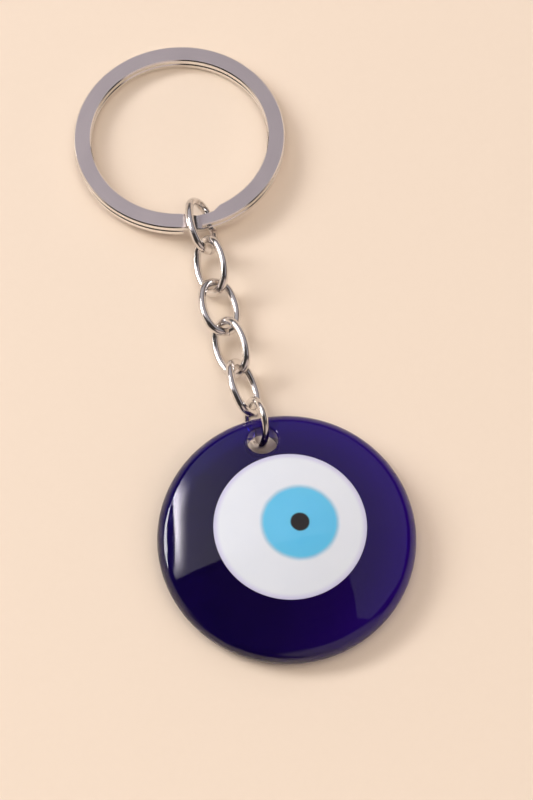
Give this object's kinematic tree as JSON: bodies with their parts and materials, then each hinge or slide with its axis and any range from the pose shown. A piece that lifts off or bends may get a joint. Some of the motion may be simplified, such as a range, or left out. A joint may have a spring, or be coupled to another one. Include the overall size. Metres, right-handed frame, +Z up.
{
  "type": "evil eye key ring charm",
  "caption": "Round cobalt glass eye charm with a hanging hole, joined by a jump ring and a short oval link chain to a two turn split ring, lying flat.",
  "frame": {"origin": "on the table, under the middle of the whole object's bounding box", "axes": "+Z up from the table, +Y along the chain from the glass eye to the split ring, +X to the right of the eye seen from above"},
  "size_m": [0.035, 0.0953, 0.0074],
  "materials": {
    "ring_wire": "nickel plated, satin faces and bright edges",
    "link_wire": "polished nickel plate",
    "cobalt_glass": "glossy, fire polished",
    "white_glass": "glossy opal",
    "light_blue_glass": "glossy opal",
    "black_glass": "glossy opal"
  },
  "bodies": {
    "split_ring": {"split_ring": "ring_wire"},
    "link_1": {"chain_link_1": "link_wire"},
    "link_2": {"chain_link_2": "link_wire"},
    "link_3": {"chain_link_3": "link_wire"},
    "link_4": {"chain_link_4": "link_wire"},
    "link_5": {"chain_link_5": "link_wire"},
    "jump_ring": {"jump_ring": "link_wire"},
    "pendant": {"cobalt_glass": "cobalt_glass", "white_glass": "white_glass", "light_blue_glass": "light_blue_glass", "black_glass": "black_glass"}
  },
  "joints": [
    {"name": "ring_swing", "type": "hinge", "parent": "split_ring", "child": "link_1", "pos_m": [0.00013, 0.01993, 0.00266], "axis": [1, 0, 0], "range_deg": [-5, 30]},
    {"name": "link_2_swing", "type": "hinge", "parent": "link_1", "child": "link_2", "pos_m": [-0.00042, 0.0142, 0.00322], "axis": [0.5965, -0.0976, -0.7967], "range_deg": [-80, 80]},
    {"name": "link_3_swing", "type": "hinge", "parent": "link_2", "child": "link_3", "pos_m": [-0.00049, 0.00781, 0.00279], "axis": [0.6684, -0.0506, 0.7421], "range_deg": [-80, 80]},
    {"name": "link_4_swing", "type": "hinge", "parent": "link_3", "child": "link_4", "pos_m": [-0.00098, 0.00143, 0.00308], "axis": [0.8955, -0.078, -0.4381], "range_deg": [-80, 80]},
    {"name": "link_5_swing", "type": "hinge", "parent": "link_4", "child": "link_5", "pos_m": [-0.00031, -0.00494, 0.00305], "axis": [-0.692, -0.0605, -0.7193], "range_deg": [-80, 80]},
    {"name": "jump_ring_swing", "type": "hinge", "parent": "link_5", "child": "jump_ring", "pos_m": [-0.00025, -0.01134, 0.00305], "axis": [0.6292, 0.011, -0.7771], "range_deg": [-45, 45]},
    {"name": "pendant_swing", "type": "hinge", "parent": "jump_ring", "child": "pendant", "pos_m": [0, -0.01312, 0.00358], "axis": [-0.9526, -0.0355, 0.3023], "range_deg": [-45, 75]}
  ]
}
